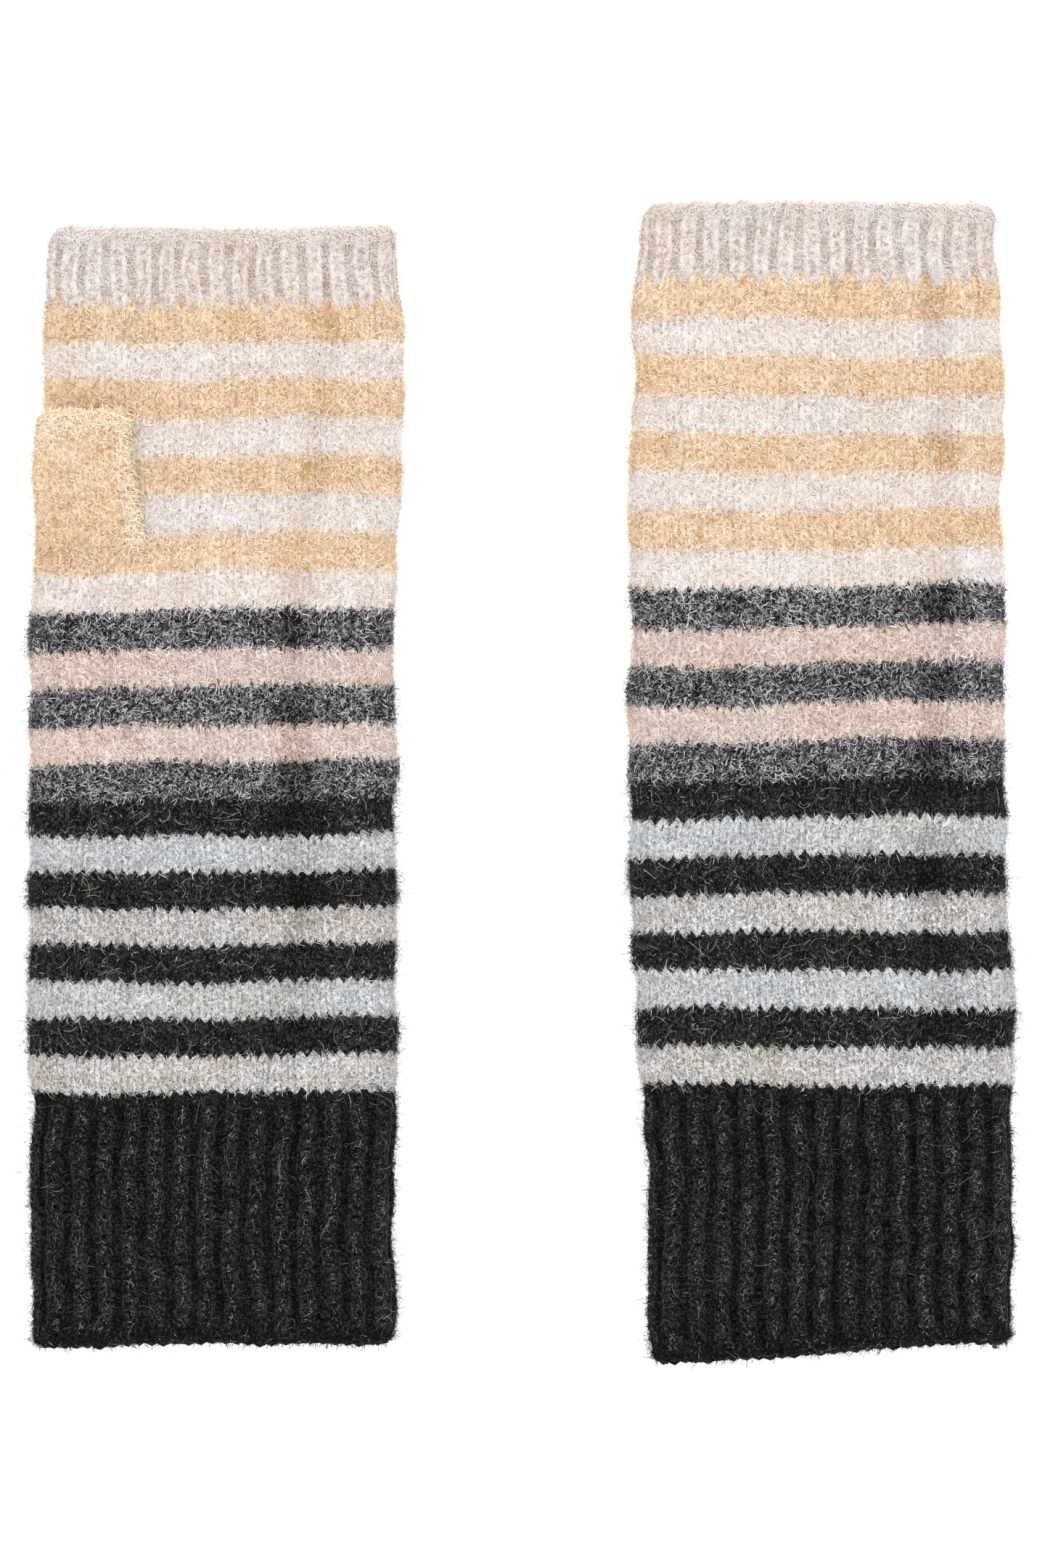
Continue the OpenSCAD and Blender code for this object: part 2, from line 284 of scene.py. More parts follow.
class Glove(Tube):
    """The tube of one glove, with the frame's widths and places."""

    def __init__(self, side):
        self.side = side
        self.bands = bands_of(side)
        self.floor = 0
        self.low, self.high = self.bands[0].y0, self.bands[-1].y1
        self.wrist = self.bands[10].y1
        self.phase = 0.0 if side == "left" else 2.1
        ys, middles, widths, rises = [], [], [], []
        for band in self.bands:
            for y in np.linspace(band.y0 + 2.5, band.y1 - 2.5, 3):
                ys.append(y)
                middles.append((band.left + band.right) / 2)
                widths.append(band.right - band.left)
                rises.append((band.top - FRAME_H) / (1 - SQUASH))
        self.ys = np.array(ys)
        self.middles = np.array(middles)
        self.widths = np.array(widths)
        self.rises = np.array(rises)
        self.furrows = np.random.default_rng(len(side)).uniform(0.5, 1.5, STITCHES)
        super().__init__(self.low, self.high)

    def near(self, values, y, reach):
        """The values averaged over a stretch of the glove."""
        spots = y + np.linspace(-reach, reach, 9)
        return np.interp(spots, self.ys, values).mean()

    def shape(self, y):
        p = self.phase
        middle = self.near(self.middles, y, 9) + 0.35 * np.sin(y / 8.5 + p) + 0.3 * np.sin(y / 3.9 - p)
        width = self.near(self.widths, y, 5) + 0.45 * np.sin(y / 6.1 + 2 * p) + 0.3 * np.sin(y / 2.7)
        rise = self.near(self.rises, y, 14)
        mouth = smooth(min(y - self.low, self.high - y) / MOUTH_SLOPE)
        thick = MOUTH_H + (GLOVE_H - MOUTH_H) * mouth
        corner = self.corner(y)
        width = width - 2 * corner - 2 * SIDE_MARGIN
        room = self.rib_room(y)
        return middle, width, thick - 2 * room, FOLD_R, rise, self.floor + room

    def rib_room(self, y):
        """How far the standing columns of the ribs reach past the rest of the fabric at y."""
        cuff = RIB_DEPTH["charcoal"] * smooth((self.bands[1].y0 - y) / 8)
        fingers = RIB_DEPTH["rib_cream"] * smooth((y - self.bands[-2].y1) / 8)
        return 0.6 * (cuff + fingers)

    def corner(self, y):
        """How far the rounded corners draw the sides in at y."""
        inset = 0.0
        for radius, depth in ((TOP_CORNER, self.high - y), (CUFF_CORNER, y - self.low)):
            past = np.clip(radius - depth, 0, radius)
            inset += radius - np.sqrt(radius**2 - past**2 * 0.9)
        return inset

    def relief(self, band, s, y):
        if not band.is_rib:
            return np.zeros_like(y), np.zeros_like(y)
        edge = np.minimum(y - self.low, self.high - y)
        plain = smooth((band.y1 - y - 1) / 5) if band.wool == "charcoal" else 1.0
        rib = smooth((edge - 2) / 5) * plain
        column = self.column(s)
        sink = np.where(column < 0, self.furrows[np.floor(s * STITCHES).astype(int) % STITCHES], 1.0)
        return RIB_DEPTH[band.wool] * rib * (column * sink - 0.45), rib * column

    def column(self, s):
        """1 in the middle of one column of stitches, -1 in the middle of the next."""
        return np.cos(np.pi * (s * STITCHES - 0.5))

    def tone(self, band, s, y):
        """How much lighter the wool is painted there: painted shade in the crease and in the furrows of
        the ribs, painted light on the ribs' standing columns, and a darker line drawn under the lip.
        """
        # painted shade in the crease
        tone = -CREASE_SHADE * self.dim(s, y)
        # on a rib, painted light on the standing columns and painted shade in the furrows between them
        if band.is_rib:
            sunk = (1 - self.relief(band, s, y)[1]) / 2
            broken = 1 + 0.4 * np.sin(y / 2.3 + 5 * np.floor(s * STITCHES))
            tone = tone + RIB_LIGHT_AND_SHADE[band.wool] * (1 - 2 * broken * sunk ** RIB_SHARP[band.wool])
        # a darker line drawn under the lip
        if band.wool == "rib_cream":
            tone = tone - LIP_DIM * np.exp(-(((self.high - LIP - y) / 0.9) ** 2))
        return tone

    def wave(self, s, y):
        a, p = s * TURN, self.phase
        big = np.sin(3 * a + y / 21 + p) * np.sin(y / 17 - p) + 0.6 * np.sin(5 * a - y / 13 + p)
        small = 0.35 * np.sin(11 * a + y / 7 - p) * np.sin(y / 5.5 + 2 * a)
        return WAVE * (big + small) - CREASE_DEEP * self.dim(s, y)

    def dim(self, s, y):
        """How far the fabric lies in the crease, from 0 to 1."""
        at = CREASE_S[self.side] + CREASE_LEAN[self.side] * y + 0.009 * np.sin(y / 27 + self.phase)
        aside = s % 1 - at
        reach = smooth((y - self.bands[1].y0) / 25) * smooth((self.high - y) / 25)
        return np.exp(-((aside / CREASE_WIDE) ** 2)) * reach * (0.75 + 0.25 * np.sin(y / 6.3))

    def drift(self, s, y):
        a, p = s * TURN, self.phase
        swell = np.sin(2 * a + y / 31 + p) + 0.6 * np.sin(4 * a - y / 12 - p)
        rightward = 0.5 + 0.5 * np.sin(a)
        tilt = CUFF_SET[self.side] + CUFF_TILT[self.side] * rightward
        tilt = tilt * (1 - smooth((y - self.low) / self.bands[0].length))
        near_wrist = np.exp(-(((y - self.wrist) / SAG_REACH) ** 2))
        sag = near_wrist * (STRIPE_TILT[self.side] * (rightward - 0.5) - STRIPE_SAG[self.side])
        peak = -PEAK * self.column(s) * np.exp(-(((y - self.bands[-1].y0) / 3) ** 2))
        return 0.4 * swell + 0.15 * np.sin(9 * a + y / 6) + tilt + sag + peak


class Thumb(Tube):
    """A thumb tube: its base lies closed on the palm, and it is open at the tip."""

    def __init__(self, glove):
        side = glove.side
        low, high = node_box(side + "_thumb_tube")
        self.side = side
        self.palm_edge = glove.shape(low[1])[0] - glove.shape(low[1])[1] / 2
        self.floor = low[2]
        self.low, self.high = low[1] - THUMB_START, high[1] - THUMB_END
        self.y0, self.y1, self.wool = self.low, self.high, "tan"
        self.edge = low[0] + (0 if side == "right" else 0.5)
        self.phase = 1.3 if side == "left" else 4.0
        super().__init__(self.low, self.high)

    def shape(self, y):
        t = np.clip((y - self.low) / (self.high - self.low), 0, 1)
        width = THUMB_BASE_W + (THUMB_TIP_W - THUMB_BASE_W) * smooth(t * 1.05) ** 0.8
        tip = np.clip(1 - (self.high - y) / THUMB_CORNER, 0, 1)
        corner = THUMB_CORNER * (1 - np.sqrt(1 - 0.97 * tip**2))
        base = smooth((y - self.low) / THUMB_RISE)
        left = self.edge + 1.5 * t + THUMB_NARROW * (1 - base) + 0.3 * np.sin(y / 5.0)
        width = width - THUMB_NARROW * (1 - base)
        thick = THUMB_BASE_H + (THUMB_H - THUMB_BASE_H) * base - 1.4 * tip**2
        fold = min(THUMB_FOLD_R, thick / 2 - 0.1)
        # the left one's base lies level with the palm's fabric
        sunk = self.floor - GLOVE_H + THUMB_SINK if self.side == "left" else -THUMB_HOLD
        floor = self.floor - sunk * (1 - base) - THUMB_DROP * base * (self.side == "left")
        return left + width / 2, width - 1.6 * corner, thick, fold, 0, floor

    def section(self, y):
        x, z, round_mm = super().section(y)
        if self.side == "left":
            inward = x - self.palm_edge
            fold = FOLD_R * (1 + np.sqrt(1 - np.clip(1 - inward / FOLD_R, 0, 1) ** 2))
            slope = (GLOVE_H - 2 * FOLD_R) * smooth((inward - FOLD_R) / FOLD_SLOPE + self.EDGE_START)
            base = smooth((y - self.low) / THUMB_RISE)
            z = z - (1 - base) * (GLOVE_H - fold - slope)
        return x, z, round_mm

    def wave(self, s, y):
        return 0.25 * np.sin(2 * s * TURN + y / 9 + self.phase) + 0.15 * np.sin(5 * s * TURN - y / 4)


# ---------------------------------------------------------------- meshes


class Soup:
    """Vertices and faces with their yarn attributes, gathered until they become one mesh."""

    def __init__(self):
        self.points, self.faces = [], []
        self.strand, self.shade = [], []
        self.count = 0

    def add(self, points, quads, strand, shade):
        """points (n, 3), quads (m, 4) or (m, 3), strand (n, 3), shade (n,)."""
        self.points.append(points)
        self.strand.append(strand)
        self.shade.append(shade)
        self.faces.append(quads + self.count)
        self.count += len(points)

    def build(self, name, material):
        points = np.concatenate(self.points) * MM
        mesh = bpy.data.meshes.new(name)
        sizes = np.concatenate([np.full(len(f), f.shape[1]) for f in self.faces])
        corners = np.concatenate([f.ravel() for f in self.faces])
        starts = np.concatenate([[0], np.cumsum(sizes)[:-1]])
        mesh.vertices.add(len(points))
        mesh.vertices.foreach_set("co", points.astype(np.float32).ravel())
        mesh.loops.add(len(corners))
        mesh.loops.foreach_set("vertex_index", corners.astype(np.int32))
        mesh.polygons.add(len(sizes))
        mesh.polygons.foreach_set("loop_start", starts.astype(np.int32))
        mesh.update(calc_edges=True)
        mesh.shade_smooth()
        self.write(mesh, "strand", "FLOAT_VECTOR", "vector", np.concatenate(self.strand))
        self.write(mesh, "rest", "FLOAT_VECTOR", "vector", points / MM)
        self.write(mesh, "shade", "FLOAT", "value", np.concatenate(self.shade))
        mesh.materials.append(material)
        piece = bpy.data.objects.new(name, mesh)
        bpy.context.scene.collection.objects.link(piece)
        return piece

    @staticmethod
    def write(mesh, name, kind, field, values):
        layer = mesh.attributes.new(name, kind, "POINT")
        layer.data.foreach_set(field, values.astype(np.float32).ravel())


def unit(v):
    return v / np.maximum(np.linalg.norm(v, axis=-1, keepdims=True), 1e-9)


def ring_faces(rings, sides, closed):
    """Quads between rings of points: ring r's point k is r * sides + k."""
    last = rings if closed else rings - 1
    r = np.arange(last)[:, None]
    k = np.arange(sides)[None, :]
    nxt, up = (r + 1) % rings, (k + 1) % sides
    quads = np.stack([r * sides + k, nxt * sides + k, nxt * sides + up, r * sides + up], -1)
    return quads.reshape(-1, 4)


def sweep_yarn(soup, points, normals, closed, wide, deep, shade, offset=0.0):
    """A yarn along the points. wide and deep are its half widths along and through the fabric, and
    offset is where its streaks start."""
    if closed:
        ahead, behind = np.roll(points, -1, 0), np.roll(points, 1, 0)
    else:
        ahead = np.concatenate([points[1:], points[-1:]])
        behind = np.concatenate([points[:1], points[:-1]])
    tangent = unit(ahead - behind)
    across = unit(np.cross(tangent, normals))
    out = unit(np.cross(across, tangent))
    steps = np.linalg.norm(ahead - behind, axis=1) / 2
    along = np.cumsum(steps) + offset
    turn = np.arange(SIDES) / SIDES * TURN + np.pi / SIDES
    wide, deep = np.broadcast_to(wide, len(points)), np.broadcast_to(deep, len(points))
    ring = (
        points[:, None]
        + across[:, None] * (wide[:, None] * np.cos(turn))[..., None]
        + out[:, None] * (deep[:, None] * np.sin(turn))[..., None]
    )
    strand = np.zeros((len(points), SIDES, 3))
    strand[..., 0] = along[:, None]
    strand[..., 1] = np.cos(turn) * YARN_WIDE
    strand[..., 2] = np.sin(turn) * YARN_DEEP + offset
    shades = np.repeat(np.broadcast_to(shade, len(points)), SIDES)
    faces = ring_faces(len(points), SIDES, closed)
    soup.add(ring.reshape(-1, 3), faces, strand.reshape(-1, 3), shades)
    if not closed:
        first = np.arange(SIDES)
        ends = np.stack([first[::-1], first + (len(points) - 1) * SIDES])
        soup.faces.append(ends + soup.count - len(points) * SIDES)


def knit_row(soup, tube, band, y, row_h, columns, rng):
    """One row of stitches right round a tube, with every other column sunk in where it is ribbed."""
    turn = np.arange(columns * STEPS) / STEPS  # in stitches
    t = turn * TURN
    jig = rng.normal(size=(4, columns))
    spots = np.arange(columns + 1)

    def drift(k, size):
        return size * np.interp(turn, spots, np.append(jig[k], jig[k][0]))

    stand, column = tube.relief(band, turn / columns, np.full_like(turn, y))
    rib = np.abs(column).max()
    depth = -LOOP_DEPTH * np.cos(2 * t) * (1 - rib) + LOOP_DEPTH * np.sign(column) * np.abs(column) ** 0.4
    shift = (LOOP_LEAN + drift(0, 0.02)) * np.sin(2 * t)
    shift = shift + RIB_SPREAD.get(band.wool, 0) * rib * np.sin(np.pi * (turn - 0.5))
    s = (turn + shift) / columns
    ys = y - row_h * (LOOP_REACH + drift(1, 0.04)) * np.cos(t) + drift(2, 0.07 * row_h)
    points, normals = tube.place(s, ys, YARN_LEVEL + depth + stand + drift(3, 0.05))
    # tone adds the painted shade of the crease and the rib furrows, and the painted light of the rib
    # columns
    shade = 0.5 + 0.06 * rng.normal() + drift(2, 0.1) + tube.tone(band, s, ys)
    wide = YARN_WIDE + (RIB_YARN.get(band.wool, YARN_WIDE) - YARN_WIDE) * rib
    wide = wide * (1 + drift(3, 0.04) + 0.05 * rng.normal(size=len(turn)))
    shade = np.clip(shade, 0.02, 0.98)
    sweep_yarn(soup, points, normals, True, wide, YARN_DEEP, shade, offset=rng.random() * 100)


def rolled_edge(soup, tube, y, rng):
    """The thick strand of bound stitches round an opening."""
    count = int(tube.round_mm.mean() / 1.1)
    s = np.arange(count) / count
    wobble = np.interp(s, np.linspace(0, 1, 25), np.tile(rng.normal(size=24), 2)[:25])
    points, normals = tube.place(s, y + 0.15 * wobble, np.full(count, -RIM_R - 0.05))
    wide = RIM_R * (1 + 0.08 * rng.normal(size=count))
    sweep_yarn(soup, points, normals, True, wide, RIM_R, 0.55, offset=rng.random() * 100)


def backing(soup, tube, band, y0, y1, columns):
    """The felted layer behind a band's yarn: a closed ring of thin wall."""
    rows = max(3, int(np.ceil((y1 - y0) / 3)) + 1)
    ys = np.linspace(y0, y1, rows)
    loop_y = np.concatenate([ys, ys[::-1]])
    loop_up = np.concatenate([np.full(rows, BACKING[0]), np.full(rows, BACKING[1])])
    s = np.repeat(np.arange(columns) / columns, 2 * rows)
    y, up = np.tile(loop_y, columns), np.tile(loop_up, columns)
    if band.wool in FELT_LIFT:
        up = up + FELT_LIFT[band.wool] + tube.relief(band, s, y)[0]
    points, _ = tube.place(s, y, up)
    strand = np.stack([s * 200, y, up * 0], -1)
    soup.add(points, ring_faces(columns, 2 * rows, True)[:, ::-1], strand, np.full(len(s), 0.45))


def fibre_faces(rings, sides):
    """Triangles of a fibre: a point, rings of so many corners, and a point. A flat fibre's rings
    have two corners."""
    last = 1 + sides * rings
    faces = []
    for k in range(sides if sides > 2 else 1):
        n = (k + 1) % sides
        faces.append([0, 1 + n, 1 + k])
        faces.append([last, last - sides + k, last - sides + n])
        for r in range(rings - 1):
            a, b = 1 + sides * r + k, 1 + sides * r + n
            faces += [[a, b, b + sides], [a, b + sides, a + sides]]
    return np.array(faces)


def fuzz(soup, tube, band, count, rng, length, thick, curl=1.0, rise=0.5, rings=2, tint=(0, 1),
         around=(0, 1), sides=3):
    """Loose fibres that lie on the yarn, each a thin curved spindle, or a flat wisp with sides=2.
    tint is the range of shades, and around is the part of the way round the tube they grow on."""
    s = around[0] + (around[1] - around[0]) * rng.random(count)
    y = band.y0 + (band.y1 - band.y0) * rng.random(count)
    y = np.minimum(y + STRAY.get(band.wool, 0) * rng.normal(size=count), tube.high - 0.3)
    ribbed = np.abs(tube.relief(band, np.full(count, 0.5 / STITCHES), y)[1])
    ribbed = ribbed * RIB_PULL.get(band.wool, 0)
    s = s - ribbed * np.sin(np.pi * (s * STITCHES - 0.5)) / (np.pi * STITCHES)
    size = length[0] + (length[1] - length[0]) * rng.random(count) ** 1.6
    heading = rng.random(count) * TURN
    bend = curl * rng.normal(size=count) * 1.3
    lift = rise * np.abs(rng.normal(size=count)) ** 1.3
    start = -0.35 + 0.45 * rng.random(count)
    shade = tint[0] + (tint[1] - tint[0]) * rng.random(count)
    # tone adds the painted shade of the crease and the rib furrows, and the painted light of the rib
    # columns
    shade = np.clip(shade + tube.tone(band, s, y), 0.02, 0.99)
    round_mm = np.interp(y, tube.rows_y, tube.round_mm)
    stops = np.linspace(0, 1, rings + 2)
    dx, dy, paths, ups = 0.0, 0.0, [], []
    for k, t in enumerate(stops):
        if k:
            angle = heading + bend * (t - 0.5 * stops[1])
            dx = dx + size * stops[1] * np.cos(angle)
            dy = dy + size * stops[1] * np.sin(angle)
        up = start + (0.25 + lift * size * 0.45) * np.sin(t * 2.4)
        spot = s + dx / round_mm
        points, normals = tube.place(spot, y + dy, up + tube.relief(band, spot, y)[0])
        paths.append(points)
        ups.append(normals)
    path = np.stack(paths, 1)
    path[..., 2] = np.maximum(path[..., 2], 0.05)
    tangent = unit(np.gradient(path, axis=1))
    across = unit(np.cross(tangent, np.stack(ups, 1)))
    out = np.cross(across, tangent)
    radius = thick * (0.75 + 0.5 * rng.random(count))
    roll = rng.normal(size=(count, 1)) * 0.45
    each = 2 + sides * rings
    verts = np.empty((count, each, 3))
    verts[:, 0], verts[:, -1] = path[:, 0], path[:, -1]
    for ring in range(rings):
        for k in range(sides):
            turn = k / sides * TURN + roll
            arm = across[:, ring + 1] * np.cos(turn) + out[:, ring + 1] * np.sin(turn)
            verts[:, 1 + ring * sides + k] = path[:, ring + 1] + arm * radius[:, None]
    faces = (np.arange(count)[:, None, None] * each + fibre_faces(rings, sides)[None]).reshape(-1, 3)
    strand = np.zeros((count, each, 3))
    strand[:, :, 2] = (shade * 400)[:, None]
    soup.add(verts.reshape(-1, 3), faces, strand.reshape(-1, 3), np.repeat(1 + shade, each))


# ---------------------------------------------------------------- materials

FLECK_FROM = 0.93  # loose fibres with a higher shade have the fleck colour


def srgb(*values):
    """A colour as it looks on screen, 0 to 255, turned to light."""
    v = np.array(values) / 255
    return tuple(np.where(v < 0.04045, v / 12.92, ((v + 0.055) / 1.055) ** 2.4)) + (1.0,)


class Nodes:
    """A material's nodes, with short calls for the ones used here."""

    def __init__(self, name):
        self.material = bpy.data.materials.new(name)
        self.material.use_nodes = True
        self.tree = self.material.node_tree
        self.shader = self.tree.nodes["Principled BSDF"]

    def add(self, kind, **settings):
        node = self.tree.nodes.new("ShaderNode" + kind)
        for key, value in settings.items():
            setattr(node, key, value)
        return node

    def link(self, a, b):
        self.tree.links.new(a, b)

    def attribute(self, name):
        return self.add("Attribute", attribute_name=name)

    def stretch(self, vector, scale):
        node = self.add("Mapping")
        self.link(vector, node.inputs["Vector"])
        node.inputs["Scale"].default_value = scale
        return node.outputs["Vector"]

    def noise(self, vector, scale, detail=3.0, rough=0.6):
        node = self.add("TexNoise")
        self.link(vector, node.inputs["Vector"])
        node.inputs["Scale"].default_value = scale
        node.inputs["Detail"].default_value = detail
        node.inputs["Roughness"].default_value = rough
        return node.outputs["Fac"]

    def ramp(self, value, stops):
        node = self.add("ValToRGB")
        self.link(value, node.inputs["Fac"])
        bar = node.color_ramp
        while len(bar.elements) < len(stops):
            bar.elements.new(0.5)
        for element, (place, colour) in zip(bar.elements, stops):
            element.position = place
            element.color = colour
        return node.outputs["Color"]

    def math(self, how, a, b):
        node = self.add("Math", operation=how)
        for socket, value in zip(node.inputs, (a, b)):
            if isinstance(value, (int, float)):
                socket.default_value = value
            else:
                self.link(value, socket)
        return node.outputs["Value"]

    def mix(self, how, factor, a, b):
        node = self.add("Mix", data_type="RGBA", blend_type=how)
        for socket, value in zip((node.inputs[0], node.inputs[6], node.inputs[7]), (factor, a, b)):
            if isinstance(value, (int, float, tuple)):
                socket.default_value = value
            else:
                self.link(value, socket)
        return node.outputs[2]


def wool(name, deep, mid, light, fleck, warm=(1, 1, 1), mottle=1.0, sheen=0.12):
    """Brushed wool. Its colour runs from deep to light along the fibres, the loose fibres with the
    highest shades have the fleck colour, and soft patches of it are tinted warm."""
    n = Nodes(name)
    strand = n.attribute("strand").outputs["Vector"]
    rest = n.attribute("rest").outputs["Vector"]
    shade = n.attribute("shade").outputs["Fac"]
    streak = n.noise(n.stretch(strand, (0.9, 3.2, 3.2)), 1.0, 4.0, 0.7)
    grain = n.noise(rest, 1.5, 3.0, 0.75)
    cloud = n.noise(rest, 0.05, 2.0, 0.5)
    blend = n.math("ADD", n.math("MULTIPLY", streak, 0.55), n.math("MULTIPLY", grain, 0.45))
    spread = n.math("MULTIPLY_ADD", n.math("SUBTRACT", blend, 0.5), 5.0 * mottle)
    spread.node.inputs[2].default_value = 0.5
    # fibres carry shade + 1, so that the part above 1 is a fibre's own tint
    own = n.math("FRACT", shade, 0)
    is_fibre = n.math("GREATER_THAN", shade, 1.0)
    yarn_fac = n.math("ADD", spread, n.math("MULTIPLY", n.math("SUBTRACT", own, 0.55), 0.6))
    fac = n.add("Mix", data_type="FLOAT")
    n.link(is_fibre, fac.inputs[0])
    n.link(yarn_fac, fac.inputs[2])
    n.link(own, fac.inputs[3])
    colour = n.ramp(fac.outputs[0], [(0.08, deep), (0.5, mid), (0.92, light)])
    chosen = n.math("MULTIPLY", n.math("GREATER_THAN", own, FLECK_FROM), is_fibre)
    colour = n.mix("MIX", chosen, colour, fleck)
    tone = n.ramp(cloud, [(0.35, (*warm, 1.0)), (0.65, (1.0, 1.0, 1.0, 1.0))])
    colour = n.mix("MULTIPLY", 1.0, colour, tone)
    n.link(colour, n.shader.inputs["Base Color"])
    bump = n.add("Bump")
    bump.inputs["Strength"].default_value = 0.6
    bump.inputs["Distance"].default_value = 0.00025
    n.link(blend, bump.inputs["Height"])
    n.link(bump.outputs["Normal"], n.shader.inputs["Normal"])
    n.shader.inputs["Roughness"].default_value = 0.95
    n.shader.inputs["Specular IOR Level"].default_value = 0.12
    n.shader.inputs["Sheen Weight"].default_value = sheen
    n.shader.inputs["Sheen Roughness"].default_value = 0.4
    return n.material


BEIGE_PATCH = (1.0, 0.95, 0.89)
BROWN_PATCH = (0.99, 0.94, 0.87)
GREY_PATCH = (0.9, 0.9, 0.92)
WOOLS = {
    "charcoal": wool("charcoal_wool", srgb(2, 2, 2), srgb(11, 11, 11), srgb(62, 63, 63),
                     srgb(140, 145, 145), GREY_PATCH, 1.7, 0.05),
    "black": wool("black_wool", srgb(4, 4, 3), srgb(21, 20, 19), srgb(91, 91, 89),
                  srgb(195, 195, 187), GREY_PATCH, 1.5, 0.05),
    "light_grey": wool("light_grey_wool", srgb(136, 137, 139), srgb(201, 204, 208), srgb(235, 239, 244),
                       srgb(143, 135, 125), BEIGE_PATCH, 1.25),
    "oatmeal": wool("oatmeal_wool", srgb(129, 125, 122), srgb(202, 201, 202), srgb(236, 238, 243),
                    srgb(224, 196, 156), BEIGE_PATCH, 1.4),
    "heather_grey": wool("heather_grey_wool", srgb(8, 8, 8), srgb(45, 44, 44), srgb(179, 178, 182),
                         srgb(211, 210, 213), GREY_PATCH, 1.9, 0.15),
    "pink": wool("pink_wool", srgb(183, 157, 147), srgb(228, 215, 209), srgb(248, 245, 245),
                 srgb(171, 135, 122), BEIGE_PATCH),
    "cream": wool("cream_wool", srgb(211, 198, 191), srgb(237, 231, 229), srgb(248, 250, 252),
                  srgb(185, 165, 153), BEIGE_PATCH, 0.7),
    "tan": wool("tan_wool", srgb(201, 162, 114), srgb(234, 217, 195), srgb(253, 239, 217),
                srgb(187, 129, 83), BROWN_PATCH, 0.9),
    "rib_cream": wool("rib_cream_wool", srgb(193, 173, 164), srgb(219, 211, 207), srgb(236, 232, 231),
                      srgb(188, 167, 156), BEIGE_PATCH, 0.5),
}
SEAM = wool("seam_yarn", srgb(40, 38, 38), srgb(80, 76, 75), srgb(120, 116, 114), srgb(120, 116, 114))

MANY = 1.0  # share of the loose fibres
BRUSHED = ("heather_grey", "pink", "cream", "tan")
DARK = ("charcoal", "black")
SIDE_SHARE = 0.07  # share of the way round that one side fold takes


def add_fuzz(soup, tube, band, rng):
    """The short fibres all over a band and the longer ones that stand off it. Dark wool also has
    light specks and long curled fibres."""
    area = tube.round_mm.mean() * (band.y1 - band.y0) * MANY

    def grow(per_mm2, length, thick, **how):
        fuzz(soup, tube, band, int(per_mm2 * area), rng, length, thick, **how)

    def edge(per_mm2, length, thick, **how):
        for middle in (0.25, 0.75):
            around = (middle - SIDE_SHARE / 2, middle + SIDE_SHARE / 2)
            grow(per_mm2 * SIDE_SHARE, length, thick, around=around, **how)

    edge(1.6, (1.5, 4.0), 0.05, rise=0.9, sides=2, tint=(0.1, 0.8))
    if band.wool in BRUSHED:
        grow(2.8, (1.2, 3.2), 0.1, rise=0.35, sides=2, tint=(0.1, 1))
        grow(0.3, (2.0, 5.5), 0.05, rise=0.85, tint=(0.2, 0.92))
    if band.wool == "rib_cream":
        grow(3.6, (1.2, 3.0), 0.1, rise=0.3, sides=2, tint=(0.45, 0.85))
        grow(0.2, (2.0, 5.5), 0.05, rise=0.85, tint=(0.4, 0.92))
    if band.wool in DARK:
        grow(1.5, (1.1, 3.0), 0.08, tint=(0, 0.65), sides=2)
        grow(0.45, (2.0, 5.0), 0.045, rise=1.1, tint=(0, 0.6))
    if band.wool in ("light_grey", "oatmeal"):
        grow(1.5, (1.1, 3.0), 0.08, rise=0.35, sides=2)
        grow(0.2, (2.0, 5.5), 0.04, rise=0.75)
    if band.wool == "heather_grey":
        grow(0.8, (1.0, 3.0), 0.1, rise=0.4, tint=(FLECK_FROM, 1), sides=2)
        grow(0.6, (1.0, 3.0), 0.13, rise=0.4, tint=(0, 0.15), sides=2)
    if band.wool == "charcoal":
        grow(0.8, (0.6, 2.4), 0.09, rise=0.3, rings=1, tint=(0.7, 1), sides=2)
        grow(0.03, (3, 8), 0.05, curl=1.4, rise=0.3, rings=6, tint=(0.8, 1))
    if band.wool == "black":
        grow(0.25, (0.5, 2.0), 0.1, rise=0.3, rings=1, tint=(0.8, 1), sides=2)
        grow(0.2, (2, 7), 0.05, curl=1.3, rise=0.3, rings=6, tint=(0.8, 1))


# ---------------------------------------------------------------- pieces


def attach(piece, glove, y0, y1, *nodes):
    """Hangs a glove's piece on its forearm or hand, or near the wrist leaves it on neither, with its
    place baked into its mesh.
    """
    forearm, hand = glove.side + "_forearm", glove.side + "_hand"
    if y1 < glove.wrist - WRIST_REACH:
        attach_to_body(piece, forearm)
    elif y0 > glove.wrist + WRIST_REACH:
        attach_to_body(piece, hand)
    else:
        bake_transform(piece)
    if nodes:
        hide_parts(*nodes)


def edge_fuzz(soup, glove, band, rng):
    """The pale felted lip of the finger rib, or the fringe along the cuff's edge."""
    if band.wool == "rib_cream":
        lip = Span(band.y1 - LIP + 1, band.y1 - 0.3)
        count = int(LIP_FIBRES * MANY)
        fuzz(soup, glove, lip, count, rng, (1.2, 3.0), 0.1, rise=0.4, tint=(0.75, 0.92), sides=2)
    if band.wool == "charcoal":
        fringe = Span(band.y0 + 0.3, band.y0 + 3)
        count = int(FRINGE_FIBRES * MANY)
        fuzz(soup, glove, fringe, count, rng, (1.2, 3.5), 0.05, rise=0.9, tint=(0, 0.8), sides=2)


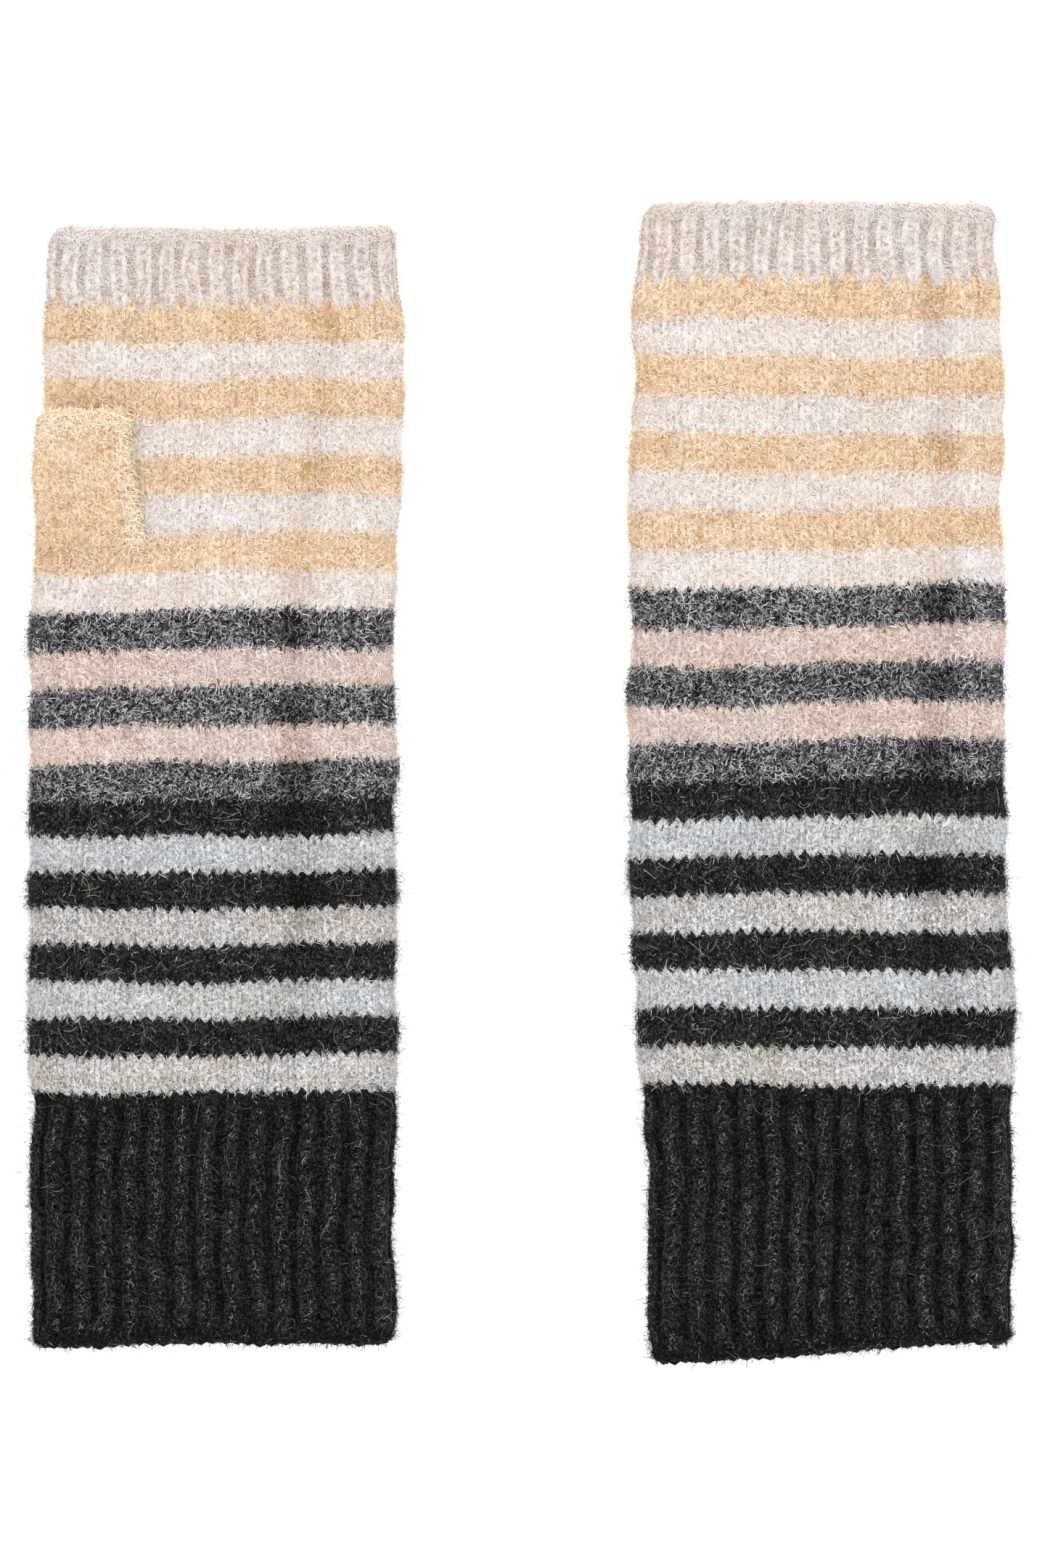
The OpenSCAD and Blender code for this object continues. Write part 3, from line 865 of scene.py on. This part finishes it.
def band_piece(glove, band, index):
    """A band's yarn and the felted layer behind it, and its fuzz."""
    rng = np.random.default_rng(100 * (glove.side == "right") + index)
    soup = Soup()
    first = band.y0 + (EDGE_MARGIN if index == 0 else 0)
    last = band.y1 - (EDGE_MARGIN if index == len(glove.bands) - 1 else 0)
    row_h = (last - first) / band.rows
    for row in range(band.rows):
        y = first + (row + 0.5) * row_h
        knit_row(soup, glove, band, y, row_h, STITCHES, rng)
    backing(soup, glove, band, first, last, columns=4 * STITCHES if band.is_rib else 2 * STITCHES)
    if first > band.y0:
        rolled_edge(soup, glove, band.y0 + RIM_R, rng)
    if last < band.y1:
        rolled_edge(soup, glove, band.y1 - RIM_R, rng)
    piece = soup.build(band.node + "_knit", WOOLS[band.wool])
    attach(piece, glove, band.y0, band.y1, band.node)
    loose = Soup()
    add_fuzz(loose, glove, band, rng)
    edge_fuzz(loose, glove, band, rng)
    fibres = loose.build(band.node + "_fuzz", WOOLS[band.wool])
    attach(fibres, glove, band.y0, band.y1)


def tip_and_fold(soup, thumb, rng):
    """The fibres that thicken a thumb's rolled tip and the fold on its right, whose pale shades are a
    painted highlight on both.
    """
    tip = Span(thumb.high - 4.5, thumb.high)
    fold = Span(thumb.low + 3, thumb.high)
    count = int(THUMB_FIBRES * MANY)
    for span, around in ((tip, (0, 1)), (fold, (0.22, 0.33))):
        # pale shades: a painted highlight on the tip and the right fold
        fuzz(soup, thumb, span, count, rng, (1.5, 3.5), 0.12, tint=(0.75, 0.92), around=around, sides=2)


def thumb_piece(glove, thumb):
    """A thumb's yarn and the felted layer behind it, and its fuzz, all bent at the base."""
    rng = np.random.default_rng(700 + (glove.side == "right"))
    soup = Soup()
    row_h = (thumb.high - EDGE_MARGIN - thumb.low) / THUMB_ROWS
    for row in range(THUMB_ROWS):
        knit_row(soup, thumb, thumb, thumb.low + (row + 0.5) * row_h, row_h, THUMB_STITCHES, rng)
    backing(soup, thumb, thumb, thumb.low, thumb.high - RIM_R - 0.05, columns=48)
    rolled_edge(soup, thumb, thumb.high - RIM_R, rng)
    node = glove.side + "_thumb_tube"
    piece = soup.build(node + "_knit", WOOLS["tan"])
    loose = Soup()
    add_fuzz(loose, thumb, thumb, rng)
    tip_and_fold(loose, thumb, rng)
    fibres = loose.build(node + "_fuzz", WOOLS["tan"])
    for each in (piece, fibres):
        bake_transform(each)
    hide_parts(node)


def seam_piece(glove, part):
    """The linked side seam: two strands twisted round each other inside the fold."""
    node = f"{glove.side}_{part}_side_seam"
    low, high = node_box(node)
    soup = Soup()
    y = np.linspace(low[1], high[1], int((high[1] - low[1]) / SEAM_STEP))
    right = np.array([glove.shape(v)[0] + glove.shape(v)[1] / 2 for v in y])
    for strand in (0, 1):
        turn = y * SEAM_TWIST + strand * np.pi
        x = right - SEAM_INSET + SEAM_R * np.cos(turn)
        points = np.stack([x, y, FOLD_R + SEAM_R * np.sin(turn)], -1)
        normals = np.tile([0.0, 0.0, 1.0], (len(y), 1))
        sweep_yarn(soup, points, normals, False, SEAM_R, SEAM_R, 0.6)
    piece = soup.build(node + "_linking", SEAM)
    attach(piece, glove, low[1], high[1], node)


# ---------------------------------------------------------------- studio


def light(name, place, size, power, target=(0, 0, 0)):
    lamp = bpy.data.lights.new(name, "AREA")
    lamp.shape = "SQUARE"
    lamp.size = size
    lamp.energy = power
    made = bpy.data.objects.new(name, lamp)
    made.location = place
    made.rotation_euler = (Vector(target) - Vector(place)).to_track_quat("-Z", "Y").to_euler()
    bpy.context.scene.collection.objects.link(made)


def studio():
    """A white floor, even light from all round and a soft light from above the finger ends."""
    scene = bpy.context.scene
    scene.view_settings.view_transform = "Standard"
    world = bpy.data.worlds.new("studio")
    world.use_nodes = True
    world.node_tree.nodes["Background"].inputs["Color"].default_value = (1, 1, 1, 1)
    world.node_tree.nodes["Background"].inputs["Strength"].default_value = 1.0
    scene.world = world
    bpy.ops.mesh.primitive_plane_add(size=6, location=(0, 0, 0))
    floor = bpy.context.object
    floor.name = "floor"
    n = Nodes("floor")
    n.shader.inputs["Base Color"].default_value = (0.93, 0.93, 0.93, 1)
    n.shader.inputs["Roughness"].default_value = 1.0
    n.shader.inputs["Specular IOR Level"].default_value = 0.0
    n.shader.inputs["Emission Color"].default_value = (1, 1, 1, 1)
    n.shader.inputs["Emission Strength"].default_value = 0.5
    floor.data.materials.append(n.material)
    light("key", (0.45, 0.85, 1.4), 1.2, 10)
    light("fill", (-0.6, -0.6, 1.5), 1.2, 6.2)


def camera():
    """Straight above the pair, so far away that its sides don't show."""
    lens = bpy.data.cameras.new("camera")
    lens.lens = 240
    lens.sensor_width = 36
    seen_height = 0.432
    made = bpy.data.objects.new("camera", lens)
    made.location = (0, -0.0007, 0.011 + seen_height * lens.lens / lens.sensor_width)
    bpy.context.scene.collection.objects.link(made)
    bpy.context.scene.camera = made


# ---------------------------------------------------------------- the pair

camera()
studio()
for side in ("left", "right"):
    glove = Glove(side)
    for index, band in enumerate(glove.bands):
        band_piece(glove, band, index)
    thumb_piece(glove, Thumb(glove))
    for part in ("forearm", "hand"):
        seam_piece(glove, part)
